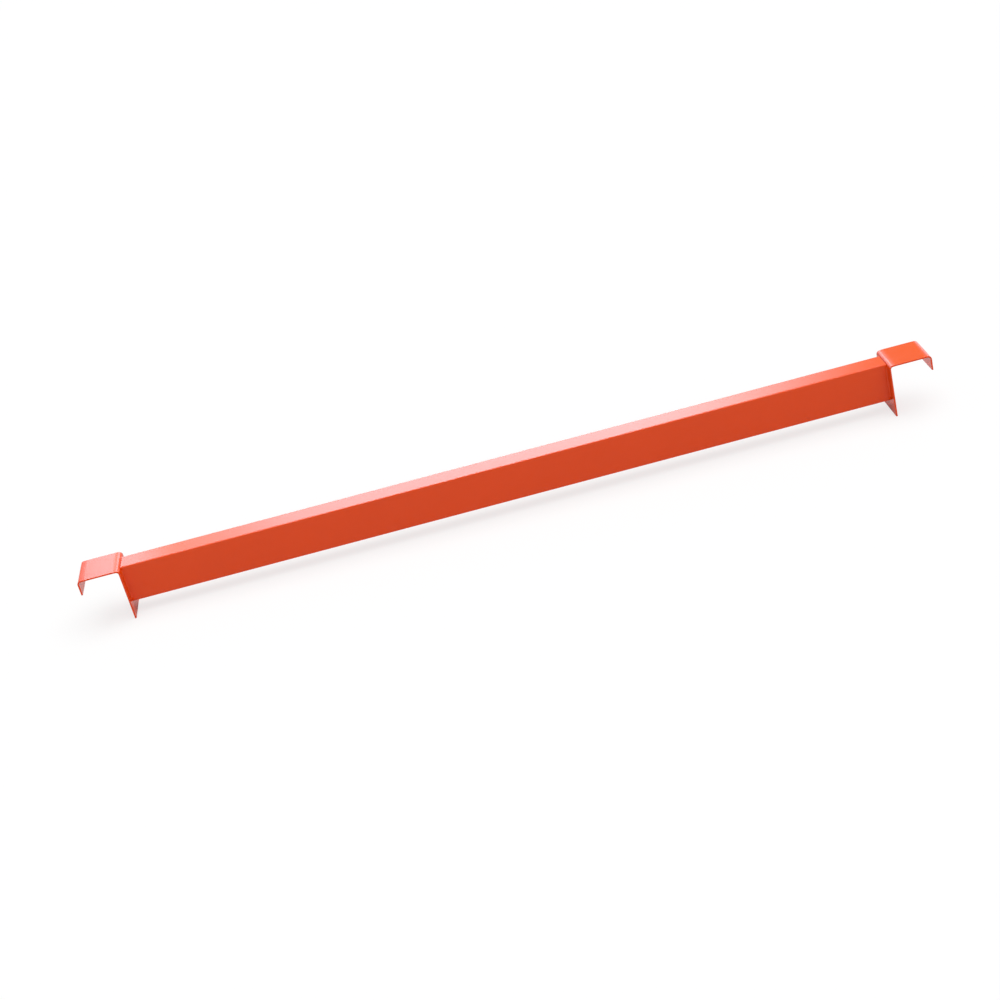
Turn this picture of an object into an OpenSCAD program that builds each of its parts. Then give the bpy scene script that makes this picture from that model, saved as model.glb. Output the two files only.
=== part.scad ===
// Pallet support bar: a rectangular steel tube with a folded strip hook welded to each end.
// The hooks drop over the front and the back beam of a pallet rack, and the tube carries the load between them.
// X runs along the tube, Y across it and Z up. The origin is at mid-length on the tube's top face,
// which is level with the tops of the two rack beams that the hooks sit on.

/* [Rack] */
// Distance over the outer faces of the rack's two beams
beam_span = 1090; // [600:1:1500]
// Width of one rack beam
beam_w = 50; // [40:1:70]
// Play of a hook on its beam, shared by both sides
play = 0.5; // [0.2:0.1:3]

/* [Tube] */
// Height of the tube
tube_h = 50; // [40:1:80]
// Width of the tube
tube_w = 30; // [20:1:50]
// Thickness of the tube's wall
tube_wall = 1.5; // [1:0.1:3]
// Inside radius of the tube's corners
tube_inner_r = 0.3; // [0.2:0.1:3]

/* [Hooks] */
// Thickness of the hooks' strip
strip_t = 2; // [1.5:0.1:4]
// How far the strip stands out past the tube at the front and at the back
strip_overhang = 12; // [6:0.5:30]
// Inside radius of the strip's two folds
fold_r = 3; // [1:0.5:6]
// How far a hook's leg reaches below the tube
leg_drop = 18; // [4:1:60]
// How far a hook's lip reaches below the top of the rack beam
lip_drop = 18; // [10:1:50]

/* [Welds] */
// Leg length of the fillet welds
weld_leg = 2; // [1:0.5:3]
// Distance from a weld's ends to the roundings of the fold and of the tube's corners
weld_inset = 1; // [0.5:0.5:4]

/* [Hidden] */
$fn = 64;
powder_orange = [0.86, 0.29, 0.14];
tube_outer_r = tube_inner_r + tube_wall;
fold_outer_r = fold_r + strip_t;
hook_reach = beam_w + play + 2 * strip_t;
tube_l = beam_span + play + 2 * strip_t - 2 * hook_reach;
strip_w = tube_w + 2 * strip_overhang;
weld_l = tube_h - 2 * (max(fold_r, tube_outer_r) + weld_inset);

// A rectangle about the origin with rounded corners, lying in the XY plane
module rounded_rectangle(w, h, r) {
  difference() {
    square([w, h], center = true);
    for (x = [-1, 1], y = [-1, 1])
      scale([x, y])
        translate([w / 2 - r, h / 2 - r])
          difference() {
            square(2 * r);
            circle(r);
          }
  }
}

// The tube: a hollow section carried along X, with its top face at Z = 0
module tube() {
  color(powder_orange)
    translate([0, 0, -tube_h / 2])
      rotate([90, 0, 90])
        linear_extrude(tube_l, center = true)
          difference() {
            rounded_rectangle(tube_w, tube_h, tube_outer_r);
            rounded_rectangle(tube_w - 2 * tube_wall, tube_h - 2 * tube_wall, tube_inner_r);
          }
}

// One fold of the strip: a quarter ring about the origin, in the upper right corner
module fold() {
  intersection() {
    difference() {
      circle(fold_outer_r);
      circle(fold_r);
    }
    square(2 * fold_outer_r);
  }
}

// The folded strip seen from the front, with the tube's top corner at the origin and the arm going left:
// leg, fold, arm, fold and lip, end to end
module strip_profile() {
  leg_flat = tube_h + leg_drop - fold_r;
  arm_flat = hook_reach - 2 * fold_outer_r;
  lip_flat = lip_drop - fold_r;
  translate([-strip_t, -fold_r - leg_flat])
    square([strip_t, leg_flat]);
  translate([-fold_outer_r, -fold_r])
    fold();
  translate([-fold_outer_r - arm_flat, 0])
    square([arm_flat, strip_t]);
  translate([-fold_outer_r - arm_flat, -fold_r])
    mirror([1, 0])
      fold();
  translate([-hook_reach, -fold_r - lip_flat])
    square([strip_t, lip_flat]);
}

// The hook at the tube's left end
module left_hook() {
  color(powder_orange)
    translate([-tube_l / 2, 0, 0])
      rotate([90, 0, 0])
        linear_extrude(strip_w, center = true)
          strip_profile();
}

// The hook at the tube's right end, the mirror image of the left one
module right_hook() {
  mirror([1, 0, 0])
    left_hook();
}

// A fillet weld between the left hook's leg and the tube's front side: a quarter round with tapered ends
module left_front_weld() {
  color(powder_orange)
    translate([-tube_l / 2, -tube_w / 2, -tube_h / 2])
      rotate([0, 0, -90])
        rotate_extrude(angle = 90)
          polygon([
            [0, -weld_l / 2],
            [weld_leg / 2, -weld_l / 2],
            [weld_leg, -weld_l / 2 + weld_leg],
            [weld_leg, weld_l / 2 - weld_leg],
            [weld_leg / 2, weld_l / 2],
            [0, weld_l / 2]
          ]);
}

module left_back_weld() {
  mirror([0, 1, 0])
    left_front_weld();
}

module right_front_weld() {
  mirror([1, 0, 0])
    left_front_weld();
}

module right_back_weld() {
  mirror([1, 0, 0])
    left_back_weld();
}

tube();
left_hook();
right_hook();
left_front_weld();
left_back_weld();
right_front_weld();
right_back_weld();
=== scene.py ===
"""Dresses a pallet support bar: its tube, its two folded hooks and their welds, under one powder coat."""

import math

import bmesh
import bpy
import numpy as np
from bpy.props import FloatProperty, FloatVectorProperty, IntProperty, PointerProperty
from bpy.types import Operator, Panel, PropertyGroup
from mathutils import Matrix, Vector


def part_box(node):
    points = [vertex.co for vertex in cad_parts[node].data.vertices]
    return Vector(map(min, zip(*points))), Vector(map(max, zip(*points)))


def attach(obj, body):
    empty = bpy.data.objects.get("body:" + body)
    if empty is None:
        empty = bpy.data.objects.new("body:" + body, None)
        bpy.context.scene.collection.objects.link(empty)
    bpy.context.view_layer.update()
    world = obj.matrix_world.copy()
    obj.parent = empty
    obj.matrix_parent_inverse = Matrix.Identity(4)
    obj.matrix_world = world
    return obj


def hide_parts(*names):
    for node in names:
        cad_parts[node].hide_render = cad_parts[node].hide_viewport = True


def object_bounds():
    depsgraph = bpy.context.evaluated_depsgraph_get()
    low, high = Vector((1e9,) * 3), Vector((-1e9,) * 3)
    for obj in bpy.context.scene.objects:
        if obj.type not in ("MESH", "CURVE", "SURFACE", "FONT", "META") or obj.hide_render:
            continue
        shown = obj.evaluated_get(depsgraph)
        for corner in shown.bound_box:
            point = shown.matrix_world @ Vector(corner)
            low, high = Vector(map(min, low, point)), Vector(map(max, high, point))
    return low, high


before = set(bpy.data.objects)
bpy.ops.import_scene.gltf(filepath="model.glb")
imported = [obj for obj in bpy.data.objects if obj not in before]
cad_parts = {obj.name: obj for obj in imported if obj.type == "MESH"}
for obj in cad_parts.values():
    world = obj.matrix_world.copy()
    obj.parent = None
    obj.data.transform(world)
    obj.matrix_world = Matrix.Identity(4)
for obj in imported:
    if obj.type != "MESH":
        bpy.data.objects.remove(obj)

bl_info = {
    "name": "Pallet support bar",
    "version": (1, 0, 0),
    "blender": (4, 5, 0),
    "location": "3D View > Sidebar > Support bar",
    "description": "Builds the visible steel of a pallet support bar, its powder coat and its stage",
    "category": "Object",
}

CAD_BOX = [list(corner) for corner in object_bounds()]
FLOOR_HEIGHT = CAD_BOX[0][2]
TUBE_LOW, TUBE_HIGH = (Vector(corner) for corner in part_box("tube"))
HOOK_LOW, HOOK_HIGH = (Vector(corner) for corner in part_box("right_hook"))
WELDS = ("left_front_weld", "left_back_weld", "right_front_weld", "right_back_weld")
STRIP_T = HOOK_HIGH.z - TUBE_HIGH.z

# Corners nearer to each other than this are one corner, and edges sharper than this stay crisp.
MERGE_WITHIN = 1e-6
CRISP_ANGLE = math.radians(60)

# A weld's round ends each take up this many legs of its length. They start a small turn off the tip, which
# leaves the tip a flat of almost no size. Its section is this much of the straight line from toe to toe, and
# the rest of the hollow one.
WELD_END = 1.5
WELD_TIP_TURN = 0.02
WELD_STRAIGHT = 0.2
# Each ripple has this many rows of faces. Its crest bows by this many legs between the toes, and the ripples
# swing about this level of their sine.
RIPPLE_ROWS = 8
RIPPLE_BOW = 0.45
RIPPLE_LEVEL = 0.6
# The bead draws in by up to twice this share of the leg and comes out again, once in so many ripples.
BEAD_WANDER = 0.04
WANDER_RIPPLES = 6.3

# The coat's own gloss, and how far its tone and its roughness drift to each side of their mean.
COAT_IOR = 1.5
COAT_SPECULAR = 0.25
TONE_DRIFT = 0.015
ROUGHNESS_DRIFT = 0.02
# The noise seldom leaves this stretch, which the drift spreads over its whole range.
NOISE_LOW, NOISE_HIGH = 0.3, 0.7

# The floor reaches this far each way from the bar, and the camera's sensor is this wide in millimetres.
FLOOR_REACH = 20.0
SENSOR_WIDTH = 36.0

# The rear card stands this far behind the bar. Its light runs from a slightly cool white to a warm one.
CARD_BACK = 6.0
CARD_COOL = (0.95, 0.95, 1.05)
CARD_WARM = (1.0, 1.0, 0.47)
# Its rows, as height and share of the glow. The flat tops mirror the even part of it, below the second row,
# and the rounded top edges of the tube mirror the brighter part above.
CARD_ROWS = ((0.3, 1.0), (3.6, 1.0), (6.3, 1.8), (14.0, 3.0), (25.0, 3.0))
# Its stops from left to right, as place along X, glow and warmth. The broad bright middle whitens most of the
# tube's top, the dim stretch on the right leaves the right hook nearly bare of gloss, and the one on the left
# puts the darker band across the tube's top near the left hook.
CARD_STOPS = (
    (-3.0, 1.0, 0.0),
    (-2.7, 1.8, 0.0),
    (-2.2, 1.8, 0.0),
    (-2.06, 4.5, 0.0),
    (-1.78, 5.75, 0.0),
    (-1.62, 2.2, 0.4),
    (-1.5, 3.05, 0.25),
    (-1.28, 3.5, 0.1),
    (-1.0, 5.15, 0.0),
    (-0.7, 5.6, 0.0),
    (0.85, 6.35, 0.0),
    (1.2, 5.6, 0.05),
    (1.55, 3.4, 0.1),
    (1.9, 1.15, 0.65),
    (2.2, 0.8, 1.0),
    (2.4, 0.8, 1.0),
    (2.7, 2.5, 0.0),
    (4.5, 2.5, 0.0),
)


def lip_foot_height():
    """Height of the right lip's lower edge: the lowest corner from the lip's inner face outwards.

    The stretch searched is a tenth deeper than the strip, so that it takes in the inner face's own corners.
    """
    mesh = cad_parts["right_hook"].data
    corners = np.empty(3 * len(mesh.vertices), dtype=np.float32)
    mesh.vertices.foreach_get("co", corners)
    corners = corners.reshape(-1, 3)
    search_depth = 1.1 * STRIP_T
    in_lip = corners[:, 0] > HOOK_HIGH.x - search_depth
    return float(corners[in_lip, 2].min())


# ---------------------------------------------------------------- settings


class SteelSettings(PropertyGroup):
    """Sizes of the steel that the eye can see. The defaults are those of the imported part."""

    tube_wall: FloatProperty(
        name="Tube wall",
        description="Thickness of the tube's wall",
        default=0.0015,
        min=0.001,
        max=0.003,
        unit="LENGTH",
        subtype="DISTANCE",
    )
    tube_corner: FloatProperty(
        name="Tube corner",
        description="Outside radius of the tube's corners",
        default=0.0018,
        min=0.0016,
        max=0.006,
        unit="LENGTH",
        subtype="DISTANCE",
    )
    fold_radius: FloatProperty(
        name="Fold radius",
        description="Inside radius of the strip's two folds",
        default=0.003,
        min=0.001,
        max=0.006,
        unit="LENGTH",
        subtype="DISTANCE",
    )
    arm_crown: FloatProperty(
        name="Arm crown",
        description="Angle by which the arm has already begun to turn where it runs into a fold",
        default=math.radians(3.8),
        min=math.radians(0.5),
        max=math.radians(10.0),
        unit="ROTATION",
        subtype="ANGLE",
    )
    arm_ease: FloatProperty(
        name="Arm ease",
        description="Length of arm over which that turn builds up",
        default=0.006,
        min=0.001,
        max=0.015,
        unit="LENGTH",
        subtype="DISTANCE",
    )
    edge_radius: FloatProperty(
        name="Edge radius",
        description="Rounding that the coat gives to the strip's sheared edges",
        default=0.00035,
        min=0.0001,
        max=0.0009,
        unit="LENGTH",
        subtype="DISTANCE",
    )
    bead_pitch: FloatProperty(
        name="Bead pitch",
        description="Distance from one ripple of a weld to the next",
        default=0.0016,
        min=0.0008,
        max=0.004,
        unit="LENGTH",
        subtype="DISTANCE",
    )
    bead_ripple: FloatProperty(
        name="Bead ripple",
        description="Depth of the ripples as a share of the weld's leg",
        default=0.1,
        min=0.0,
        max=0.2,
    )
    arc_steps: IntProperty(
        name="Arc steps",
        description="Faces round a quarter turn of a small edge or corner",
        default=6,
        min=3,
        max=16,
    )
    fold_steps: IntProperty(
        name="Fold steps",
        description="Faces round a fold of the strip",
        default=20,
        min=8,
        max=48,
    )


class CoatSettings(PropertyGroup):
    """The smooth orange-red powder coat."""

    colour: FloatVectorProperty(
        name="Colour",
        description="Base colour of the coat, in linear light",
        default=(0.735, 0.0575, 0.002),
        min=0.0,
        max=1.0,
        size=3,
        subtype="COLOR",
    )
    roughness: FloatProperty(
        name="Roughness",
        description="Mean roughness of the coat's surface",
        default=0.14,
        min=0.0,
        max=1.0,
        subtype="FACTOR",
    )
    peel_size: FloatProperty(
        name="Peel size",
        description="Distance between the soft mounds of the coat's orange peel",
        default=0.0022,
        min=0.0005,
        max=0.01,
        unit="LENGTH",
        subtype="DISTANCE",
    )
    peel_depth: FloatProperty(
        name="Peel depth",
        description="Height of the mounds of the coat's orange peel",
        default=0.00004,
        min=0.0,
        max=0.0002,
        precision=6,
        unit="LENGTH",
        subtype="DISTANCE",
    )


class StageSettings(PropertyGroup):
    """The floor, the studio light and the camera."""

    floor_colour: FloatVectorProperty(
        name="Floor colour",
        description="Colour of the plain floor, in linear light",
        default=(0.77, 0.77, 0.77),
        min=0.0,
        max=1.0,
        size=3,
        subtype="COLOR",
    )
    floor_white: FloatProperty(
        name="Floor white",
        description="Share of plain white that is laid over the floor where the camera sees it",
        default=0.75,
        min=0.0,
        max=1.0,
        subtype="FACTOR",
    )
    sky_strength: FloatProperty(
        name="Sky strength",
        description="Strength of the even white light from all round",
        default=0.42,
        min=0.0,
        max=2.0,
    )
    key_strength: FloatProperty(
        name="Key strength",
        description="Irradiance of the broad overhead light",
        default=2.9,
        min=0.0,
        max=10.0,
    )
    key_lean: FloatProperty(
        name="Key lean",
        description="Angle by which the overhead light leans to the right",
        default=math.radians(12),
        unit="ROTATION",
        subtype="ANGLE",
    )
    key_spread: FloatProperty(
        name="Key spread",
        description="Angle that the overhead light fills in the sky",
        default=math.radians(70),
        unit="ROTATION",
        subtype="ANGLE",
    )
    camera_distance: FloatProperty(
        name="Camera distance",
        description="Distance from the camera to the point it looks at",
        default=2.290,
        min=0.5,
        max=10.0,
        unit="LENGTH",
        subtype="DISTANCE",
    )
    camera_aim: FloatVectorProperty(
        name="Camera aim",
        description="The point that the camera looks at, from the middle of the tube's top face",
        default=(-0.0149, 0.0, -0.0520),
        size=3,
        unit="LENGTH",
        subtype="TRANSLATION",
    )
    camera_azimuth: FloatProperty(
        name="Camera azimuth",
        description="Angle of the camera round the bar, to the right of straight in front",
        default=math.radians(-0.27),
        unit="ROTATION",
        subtype="ANGLE",
    )
    camera_elevation: FloatProperty(
        name="Camera elevation",
        description="Angle of the camera above the horizon",
        default=math.radians(26.62),
        unit="ROTATION",
        subtype="ANGLE",
    )
    camera_roll: FloatProperty(
        name="Camera roll",
        description="Turn of the camera about its own axis, clockwise as it looks",
        default=math.radians(14.74),
        unit="ROTATION",
        subtype="ANGLE",
    )
    camera_lens: FloatProperty(
        name="Camera lens",
        description="Focal length for a sensor 36 mm wide",
        default=65.26,
        min=20.0,
        max=300.0,
        unit="CAMERA",
    )


# ---------------------------------------------------------------- surfaces


def rounded_ring(half_a, half_b, arc_steps, support):
    """One turn round a rounded rectangle, anticlockwise: core points and outward unit normals.

    A point of the outline is its core point plus the corner radius times its normal. The core points of
    an arc all lie at the corner's centre, half_a and half_b from the middle, while the normal turns by a
    quarter. One more point lies the support distance along the straight on each side of every arc, which
    keeps the shading of the flats flat.
    """
    turn = np.linspace(0.0, math.pi / 2, arc_steps + 1)
    turn = np.concatenate([turn[:1], turn, turn[-1:]])
    along = np.zeros_like(turn)
    along[0], along[-1] = -support, support
    angle = (turn[None, :] + np.arange(4)[:, None] * math.pi / 2).ravel()
    along = np.tile(along, 4)
    signs = np.array([[1, 1], [-1, 1], [-1, -1], [1, -1]]).repeat(len(turn), axis=0)
    normal = np.stack([np.cos(angle), np.sin(angle)], axis=1)
    tangent = np.stack([-np.sin(angle), np.cos(angle)], axis=1)
    core = signs * np.array([half_a, half_b]) + along[:, None] * tangent
    return core, normal


def steel_piece(name, grid, closed):
    """A mesh object from a grid of points: station by station, and round a closed ring at each station.

    The stations form a closed loop, or the first and the last end in one flat face each. The sign of the
    volume is that of the sum, over the four-sided faces, of a corner dotted with the face's area vector.
    Where it is negative, the faces are turned over, so that they point outwards.
    """
    stations, ring = grid.shape[:2]
    row = np.arange(stations if closed else stations - 1)[:, None]
    column = np.arange(ring)[None, :]
    next_row, next_column = (row + 1) % stations, (column + 1) % ring
    quads = np.stack(
        [
            row * ring + column,
            row * ring + next_column,
            next_row * ring + next_column,
            next_row * ring + column,
        ],
        axis=2,
    ).reshape(-1, 4)
    points = grid.reshape(-1, 3)
    a, b, c, d = (points[quads[:, k]] for k in range(4))
    outward = np.einsum("ij,ij->", a - points[0], np.cross(c - a, d - b)) > 0
    faces = (quads if outward else quads[:, ::-1]).tolist()
    if not closed:
        first = np.arange(ring)
        last = (stations - 1) * ring + first
        caps = (first[::-1], last) if outward else (first, last[::-1])
        faces += [cap.tolist() for cap in caps]
    mesh = bpy.data.meshes.new(name)
    mesh.from_pydata(points.tolist(), [], faces)
    smooth = np.ones(len(faces), dtype=bool)
    smooth[len(quads) :] = False
    mesh.polygons.foreach_set("use_smooth", smooth)
    merged = bmesh.new()
    merged.from_mesh(mesh)
    bmesh.ops.remove_doubles(merged, verts=merged.verts, dist=MERGE_WITHIN)
    open_edges = [edge for edge in merged.edges if len(edge.link_faces) != 2]
    merged.to_mesh(mesh)
    merged.free()
    if open_edges or mesh.validate():
        raise RuntimeError(f"{name} isn't a closed surface")
    mesh.set_sharp_from_angle(angle=CRISP_ANGLE)
    piece = bpy.data.objects.new(name, mesh)
    bpy.context.scene.collection.objects.link(piece)
    return piece


def dress(piece, node):
    """Gives a piece its coat and lets it ride in place of the CAD node that it stands for."""
    piece.data.materials.append(powder_coat())
    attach(piece, "root")
    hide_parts(node)


def tube_grid(steel):
    """The hollow section: a wall's section, lying along X, carried once round the tube's rounded outline.

    A station is a place round the closed section of the wall: out along the outer face, over the sawn end,
    back along the inner face and over the other end. It has a place along X and a depth under the outer face,
    and the ring there is the outline's core plus (corner radius - depth) times its normal.
    """
    size = TUBE_HIGH - TUBE_LOW
    middle = (TUBE_HIGH + TUBE_LOW) / 2
    corner, wall, edge = steel.tube_corner, steel.tube_wall, steel.edge_radius
    half_y, half_z = size.y / 2 - corner, size.z / 2 - corner
    core, normal = rounded_ring(half_y, half_z, steel.arc_steps, support=2 * edge)
    half_x, half_wall = size.x / 2 - edge, wall / 2 - edge
    section_core, section_normal = rounded_ring(half_x, half_wall, steel.arc_steps, support=edge / 4)
    section = section_core + edge * section_normal
    along, radius = section[:, 0], corner - wall / 2 + section[:, 1]
    grid = np.empty((len(section), len(core), 3))
    grid[:, :, 0] = along[:, None]
    grid[:, :, 1] = core[None, :, 0] + radius[:, None] * normal[None, :, 0]
    grid[:, :, 2] = core[None, :, 1] + radius[:, None] * normal[None, :, 1]
    return grid + np.array(middle)


def strip_line(steel):
    """The strip's middle line from foot to foot: distances along it, its points in X and Z, its direction.

    The direction is 90 degrees up the leg, turns evenly down to the crown angle in the fold, turns evenly
    to 0 as the arm eases out of the fold, and does the same in reverse towards the lip. A stretch that
    turns evenly is an arc. A step along it is a chord: the distance times sin(h) / h, where h is half the
    step's turn, in the direction at the step's middle. The points are the running sum of the chords. The
    straights take up what the arcs leave: an arc of radius R between the angles a and b runs
    R (sin b - sin a) along and R (cos a - cos b) up.
    """
    edge, crown, ease = steel.edge_radius, steel.arm_crown, steel.arm_ease
    bend = steel.fold_radius + STRIP_T / 2
    fold = bend * (math.pi / 2 - crown)
    run = bend * (1 - math.sin(crown)) + ease / crown * math.sin(crown)
    rise = bend * math.cos(crown) + ease / crown * (1 - math.cos(crown))
    start = np.array([HOOK_LOW.x + STRIP_T / 2, HOOK_LOW.z])
    fold_height = HOOK_HIGH.z - STRIP_T / 2 - rise
    arm = HOOK_HIGH.x - HOOK_LOW.x - STRIP_T - 2 * run
    lengths = [fold_height - HOOK_LOW.z, fold, ease, arm, ease, fold, fold_height - lip_foot_height()]
    breaks = np.cumsum([0.0, *lengths])
    angles = np.array([math.pi / 2, math.pi / 2, crown, 0.0, 0.0, -crown, -math.pi / 2, -math.pi / 2])

    foot = edge * (1 - np.cos(np.linspace(0.0, math.pi / 2, steel.arc_steps + 1)))
    arcs = [np.linspace(breaks[k], breaks[k + 1], steel.fold_steps + 1) for k in (1, 2, 4, 5)]
    support = edge * np.array([-1, 1, -1, 1])
    beside_arcs = breaks[[1, 3, 4, 6]] + support
    beside_feet = np.array([2 * edge, breaks[7] - 2 * edge])
    s = np.unique(np.concatenate([foot, beside_feet, beside_arcs, *arcs, breaks[7] - foot]))
    turn = np.interp(s, breaks, angles)
    bent = np.diff(turn)
    halfway = turn[:-1] + bent / 2
    length = np.diff(s) * np.sinc(bent / (2 * math.pi))
    chord = length[:, None] * np.stack([np.cos(halfway), np.sin(halfway)], axis=1)
    line = start + np.concatenate([[[0.0, 0.0]], np.cumsum(chord, axis=0)])
    return s, line, turn


def hook_grid(steel, side):
    """The folded strip: its rounded section carried along its middle line, up the leg, out and down the lip.

    The section lies across the line, one way along Y and the other way a quarter turn to the left of the
    line's direction. At a distance d from either foot its edge radius is the root of r squared less (r - d)
    squared, so that the foot's own edges are rounded too.
    """
    edge = steel.edge_radius
    s, line, turn = strip_line(steel)
    outer = np.stack([-np.sin(turn), np.cos(turn)], axis=1)
    from_foot = np.minimum(np.minimum(s, s[-1] - s), edge)
    radius = np.sqrt((edge**2 - (edge - from_foot) ** 2).clip(0.0))
    width = HOOK_HIGH.y - HOOK_LOW.y
    half_strip, half_width = STRIP_T / 2 - edge, width / 2 - edge
    core, normal = rounded_ring(half_strip, half_width, steel.arc_steps, support=edge / 4)
    ring = core[None] + radius[:, None, None] * normal[None]
    grid = np.empty((len(s), len(core), 3))
    grid[:, :, 0] = side * (line[:, None, 0] + ring[:, :, 0] * outer[:, None, 0])
    grid[:, :, 1] = ring[:, :, 1] + (HOOK_HIGH.y + HOOK_LOW.y) / 2
    grid[:, :, 2] = line[:, None, 1] + ring[:, :, 0] * outer[:, None, 1]
    return grid


def weld_grid(steel, node):
    """A fillet weld: a fan from the corner line between leg and tube, carried up Z.

    At an angle t the fan's reach mixes two lines from toe to toe: the straight one,
    leg / (cos t + sin t), and the hollow quarter round that is tangent to both faces, leg times
    cos t + sin t less the root of sin 2t. The ripples follow the size of a sine of the height, bowed so
    that each crest trails at the toes, and a slow cosine of the height draws the bead in and out. Over the
    last stretch at each end the reach falls off as the root of 1 - u squared, to a round end.
    """
    low, high = (Vector(corner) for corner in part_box(node))
    leg = high.y - low.y
    x_side = 1.0 if low.x < 0 else -1.0
    y_side = -1.0 if low.y < 0 else 1.0
    root = (low.x if x_side > 0 else high.x, high.y if y_side < 0 else low.y)
    stretch = WELD_END * leg
    count = int(RIPPLE_ROWS * (high.z - low.z - 2 * stretch) / steel.bead_pitch)
    dome = stretch * (1.0 - np.cos(np.linspace(WELD_TIP_TURN, math.pi / 2, 2 * steel.arc_steps + 1)))
    between = np.linspace(low.z + stretch, high.z - stretch, count)[1:-1]
    height = np.concatenate([low.z + dome, between, high.z - dome[::-1]])[:, None]
    fan = np.linspace(0.0, math.pi / 2, 2 * steel.arc_steps + 1)[None, :]
    total = np.cos(fan) + np.sin(fan)
    belly = np.sqrt(np.sin(2 * fan).clip(0.0))
    straight = 1.0 / total
    hollow = total - belly
    section = WELD_STRAIGHT * straight + (1.0 - WELD_STRAIGHT) * hollow
    bow = RIPPLE_BOW * leg * np.sin(2 * fan)
    phase = math.pi * (height - low.z + bow) / steel.bead_pitch
    ripple = steel.bead_ripple * belly * (np.abs(np.sin(phase)) - RIPPLE_LEVEL)
    slow = 2 * math.pi * (height - low.z) / (WANDER_RIPPLES * steel.bead_pitch)
    wander = BEAD_WANDER * np.cos(slow) - BEAD_WANDER
    u = 1.0 - np.minimum(np.minimum(height - low.z, high.z - height) / stretch, 1.0)
    reach = leg * np.sqrt((1.0 - u**2).clip(0.0)) * (section + ripple + wander)
    grid = np.empty((len(height), fan.size + 1, 3))
    grid[:, :-1, 0] = root[0] + x_side * reach * np.cos(fan)
    grid[:, :-1, 1] = root[1] + y_side * reach * np.sin(fan)
    grid[:, -1, 0] = root[0]
    grid[:, -1, 1] = root[1]
    grid[:, :, 2] = height
    return grid


# ---------------------------------------------------------------- finish


def powder_coat():
    """The orange-red powder coat: a glossy skin with faint orange peel and slight drift in tone and gloss."""
    name = "support_bar_coat"
    if name in bpy.data.materials:
        return bpy.data.materials[name]
    coat = bpy.context.scene.support_bar_coat
    material = bpy.data.materials.new(name)
    material.use_nodes = True
    nodes, links = material.node_tree.nodes, material.node_tree.links
    skin = nodes["Principled BSDF"]
    skin.inputs["IOR"].default_value = COAT_IOR
    skin.inputs["Specular IOR Level"].default_value = COAT_SPECULAR
    place = nodes.new("ShaderNodeTexCoord").outputs["Object"]

    def noise(scale, detail, roughness):
        """Soft noise on object coordinates, with scale in turns a metre."""
        node = nodes.new("ShaderNodeTexNoise")
        node.inputs["Scale"].default_value = scale
        node.inputs["Detail"].default_value = detail
        node.inputs["Roughness"].default_value = roughness
        links.new(place, node.inputs["Vector"])
        return node.outputs["Fac"]

    def drift(value, mean, by):
        """Spreads the noise's usual stretch from the mean less the drift to the mean plus the drift."""
        node = nodes.new("ShaderNodeMapRange")
        node.inputs["From Min"].default_value = NOISE_LOW
        node.inputs["From Max"].default_value = NOISE_HIGH
        node.inputs["To Min"].default_value = mean - by
        node.inputs["To Max"].default_value = mean + by
        links.new(value, node.inputs["Value"])
        return node.outputs["Result"]

    tone = nodes.new("ShaderNodeHueSaturation")
    tone.inputs["Color"].default_value = (*coat.colour, 1.0)
    clouds = noise(scale=9.0, detail=3.0, roughness=0.5)
    links.new(drift(clouds, mean=1.0, by=TONE_DRIFT), tone.inputs["Value"])
    links.new(tone.outputs["Color"], skin.inputs["Base Color"])
    patches = noise(scale=30.0, detail=4.0, roughness=0.6)
    links.new(drift(patches, mean=coat.roughness, by=ROUGHNESS_DRIFT), skin.inputs["Roughness"])
    peel = nodes.new("ShaderNodeBump")
    peel.inputs["Strength"].default_value = 1.0
    peel.inputs["Distance"].default_value = coat.peel_depth
    mounds = noise(scale=1.0 / coat.peel_size, detail=1.5, roughness=0.4)
    links.new(mounds, peel.inputs["Height"])
    links.new(peel.outputs["Normal"], skin.inputs["Normal"])
    return material


def floor_finish(colour, plain_share):
    """The floor: a matt pale surface, over which a share of plain white is laid for the camera.

    A third of that share is laid for reflections, which so keep more of the object's shadow.
    """
    material = bpy.data.materials.new("pale_floor")
    material.use_nodes = True
    nodes, links = material.node_tree.nodes, material.node_tree.links
    nodes.clear()
    out = nodes.new("ShaderNodeOutputMaterial")
    matt = nodes.new("ShaderNodeBsdfDiffuse")
    matt.inputs["Color"].default_value = (*colour, 1.0)
    white = nodes.new("ShaderNodeEmission")
    white.inputs["Strength"].default_value = 1.0
    mix = nodes.new("ShaderNodeMixShader")
    seen = seen_share(nodes, links, direct=plain_share, mirrored=plain_share / 3)
    links.new(seen, mix.inputs["Fac"])
    links.new(matt.outputs["BSDF"], mix.inputs[1])
    links.new(white.outputs["Emission"], mix.inputs[2])
    links.new(mix.outputs["Shader"], out.inputs["Surface"])
    return material


def seen_share(nodes, links, direct, mirrored):
    """The direct share on camera rays, the mirrored share on glossy and transmission rays, 0 on the rest."""
    path = nodes.new("ShaderNodeLightPath")
    shares = {"Is Camera Ray": direct, "Is Glossy Ray": mirrored, "Is Transmission Ray": mirrored}
    total = None
    for ray, share in shares.items():
        part = nodes.new("ShaderNodeMath")
        part.operation = "MULTIPLY_ADD"
        part.inputs[1].default_value = share
        part.inputs[2].default_value = 0.0
        links.new(path.outputs[ray], part.inputs[0])
        if total:
            links.new(total, part.inputs[2])
        total = part.outputs["Value"]
    return total


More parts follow.
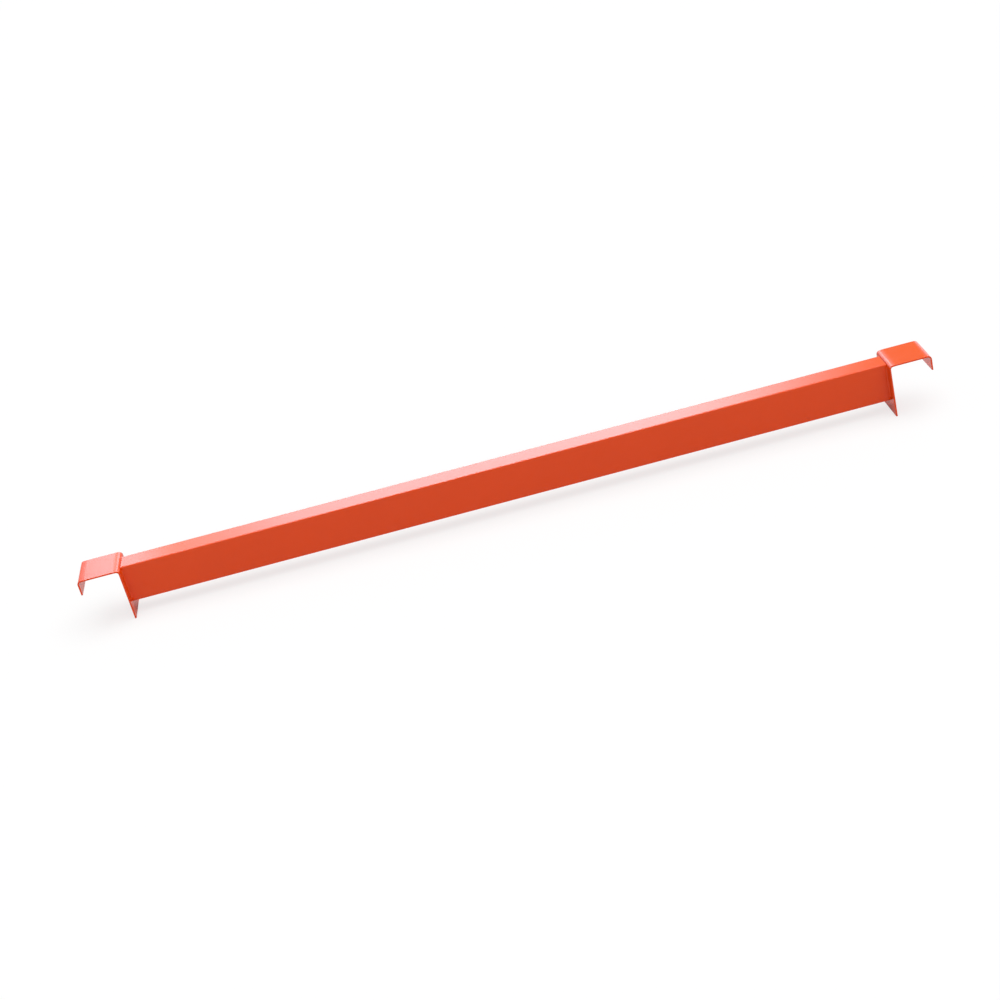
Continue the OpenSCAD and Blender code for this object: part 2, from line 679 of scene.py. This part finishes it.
def white_world(sky_strength):
    """A white world: strength 1 where it is seen or mirrored, and the sky strength where it lights."""
    world = bpy.data.worlds.new("studio")
    bpy.context.scene.world = world
    world.use_nodes = True
    nodes, links = world.node_tree.nodes, world.node_tree.links
    ground = nodes["Background"]
    ground.inputs["Color"].default_value = (1.0, 1.0, 1.0, 1.0)
    strength = nodes.new("ShaderNodeMapRange")
    strength.inputs["To Min"].default_value = sky_strength
    strength.inputs["To Max"].default_value = 1.0
    links.new(seen_share(nodes, links, direct=1.0, mirrored=1.0), strength.inputs["Value"])
    links.new(strength.outputs["Result"], ground.inputs["Strength"])


def rear_card():
    """A tall glowing card far behind the bar, which the top faces mirror, and which lights nothing else.

    It is a flat grid of corners, a column at each stop and a row at each height. A corner's light is its
    column's glow times its row's share, in the cool white turned towards the warm one by the column's warmth.
    In between it changes evenly.
    """
    across, glow, warmth = np.array(CARD_STOPS).T
    height, share = np.array(CARD_ROWS).T
    grid = np.stack(np.meshgrid(across, [CARD_BACK], height, indexing="ij"), axis=-1)[:, 0]
    corner = np.arange(grid[:, :, 0].size).reshape(grid.shape[:2])
    faces = np.stack([corner[:-1, :-1], corner[1:, :-1], corner[1:, 1:], corner[:-1, 1:]], axis=-1)
    mesh = bpy.data.meshes.new("rear_card")
    mesh.from_pydata(grid.reshape(-1, 3).tolist(), [], faces.reshape(-1, 4).tolist())
    cool, warm = np.array(CARD_COOL), np.array(CARD_WARM)
    tint = cool + warmth[:, None] * (warm - cool)
    light = np.ones((*corner.shape, 4), dtype=np.float32)
    light[:, :, :3] = np.outer(glow, share)[:, :, None] * tint[:, None, :]
    mesh.attributes.new("light", "FLOAT_COLOR", "POINT").data.foreach_set("color", light.ravel())
    material = bpy.data.materials.new("rear_card")
    material.use_nodes = True
    nodes, links = material.node_tree.nodes, material.node_tree.links
    nodes.clear()
    out = nodes.new("ShaderNodeOutputMaterial")
    lit = nodes.new("ShaderNodeEmission")
    grade = nodes.new("ShaderNodeAttribute")
    grade.attribute_name = "light"
    links.new(grade.outputs["Color"], lit.inputs["Color"])
    links.new(lit.outputs["Emission"], out.inputs["Surface"])
    mesh.materials.append(material)
    card = bpy.data.objects.new("rear_card", mesh)
    card.visible_camera = False
    card.visible_diffuse = False
    card.visible_shadow = False
    bpy.context.scene.collection.objects.link(card)


# ---------------------------------------------------------------- operators


class SUPPORT_BAR_OT_tube(Operator):
    """Build the rectangular tube"""

    bl_idname = "support_bar.tube"
    bl_label = "Tube"

    def execute(self, context):
        steel = context.scene.support_bar_steel
        dress(steel_piece("tube_steel", tube_grid(steel), closed=True), "tube")
        return {"FINISHED"}


class SUPPORT_BAR_OT_hooks(Operator):
    """Build the folded hook at each end"""

    bl_idname = "support_bar.hooks"
    bl_label = "Hooks"

    def execute(self, context):
        steel = context.scene.support_bar_steel
        for node, side in (("left_hook", -1), ("right_hook", 1)):
            dress(steel_piece(node + "_steel", hook_grid(steel, side), closed=False), node)
        return {"FINISHED"}


class SUPPORT_BAR_OT_welds(Operator):
    """Build the fillet welds between the hooks and the tube"""

    bl_idname = "support_bar.welds"
    bl_label = "Welds"

    def execute(self, context):
        steel = context.scene.support_bar_steel
        for node in WELDS:
            dress(steel_piece(node + "_bead", weld_grid(steel, node), closed=False), node)
        return {"FINISHED"}


class SUPPORT_BAR_OT_stage(Operator):
    """Set up the floor, the studio light and the camera"""

    bl_idname = "support_bar.stage"
    bl_label = "Stage"

    def execute(self, context):
        stage = context.scene.support_bar_stage
        self.lay_floor(stage)
        white_world(stage.sky_strength)
        self.hang_lamps(stage)
        self.place_camera(context, stage)
        view = context.scene.view_settings
        view.view_transform = "Standard"
        return {"FINISHED"}

    def lay_floor(self, stage):
        """A wide level sheet under the hooks' feet."""
        signs = ((-1, -1), (1, -1), (1, 1), (-1, 1))
        corners = [(x * FLOOR_REACH, y * FLOOR_REACH, FLOOR_HEIGHT) for x, y in signs]
        mesh = bpy.data.meshes.new("floor")
        mesh.from_pydata(corners, [], [(0, 1, 2, 3)])
        floor = bpy.data.objects.new("floor", mesh)
        floor.data.materials.append(floor_finish(stage.floor_colour, stage.floor_white))
        bpy.context.scene.collection.objects.link(floor)

    def hang_lamps(self, stage):
        """A broad overhead light that leans a little to the right, and the graded card behind."""
        key = bpy.data.lights.new("overhead", "SUN")
        key.energy = stage.key_strength
        key.angle = stage.key_spread
        lamp = bpy.data.objects.new("overhead", key)
        lamp.rotation_euler = (0.0, stage.key_lean, 0.0)
        bpy.context.scene.collection.objects.link(lamp)
        rear_card()

    def place_camera(self, context, stage):
        """The camera on its sight line, turned about that line by the roll."""
        azimuth, elevation = stage.camera_azimuth, stage.camera_elevation
        level = math.cos(elevation)
        back = Vector((math.sin(azimuth) * level, -math.cos(azimuth) * level, math.sin(elevation)))
        lens = bpy.data.cameras.new("camera")
        lens.lens = stage.camera_lens
        lens.sensor_width = SENSOR_WIDTH
        camera = bpy.data.objects.new("camera", lens)
        sight = (-back).to_track_quat("-Z", "Y").to_matrix().to_4x4()
        roll = Matrix.Rotation(-stage.camera_roll, 4, "Z")
        place = Matrix.Translation(Vector(stage.camera_aim) + back * stage.camera_distance)
        camera.matrix_world = place @ sight @ roll
        context.scene.collection.objects.link(camera)
        context.scene.camera = camera


class SUPPORT_BAR_PT_panel(Panel):
    """Settings and steps of the support bar"""

    bl_idname = "SUPPORT_BAR_PT_panel"
    bl_label = "Support bar"
    bl_space_type = "VIEW_3D"
    bl_region_type = "UI"
    bl_category = "Support bar"

    def draw(self, context):
        layout = self.layout
        for group in SETTINGS:
            column = layout.column(align=True)
            settings = getattr(context.scene, group)
            for prop in settings.bl_rna.properties:
                if prop.identifier not in ("rna_type", "name"):
                    column.prop(settings, prop.identifier)
        column = layout.column(align=True)
        for operator in OPERATORS:
            column.operator(operator.bl_idname)


SETTINGS = {
    "support_bar_steel": SteelSettings,
    "support_bar_coat": CoatSettings,
    "support_bar_stage": StageSettings,
}
OPERATORS = (SUPPORT_BAR_OT_tube, SUPPORT_BAR_OT_hooks, SUPPORT_BAR_OT_welds, SUPPORT_BAR_OT_stage)
CLASSES = (*SETTINGS.values(), *OPERATORS, SUPPORT_BAR_PT_panel)


def register():
    for cls in CLASSES:
        bpy.utils.register_class(cls)
    for name, group in SETTINGS.items():
        setattr(bpy.types.Scene, name, PointerProperty(type=group))


def unregister():
    for name in SETTINGS:
        delattr(bpy.types.Scene, name)
    for cls in reversed(CLASSES):
        bpy.utils.unregister_class(cls)


def main():
    """Runs every step in order."""
    register()
    bpy.ops.support_bar.tube()
    bpy.ops.support_bar.hooks()
    bpy.ops.support_bar.welds()
    bpy.ops.support_bar.stage()


if __name__ == "__main__":
    main()
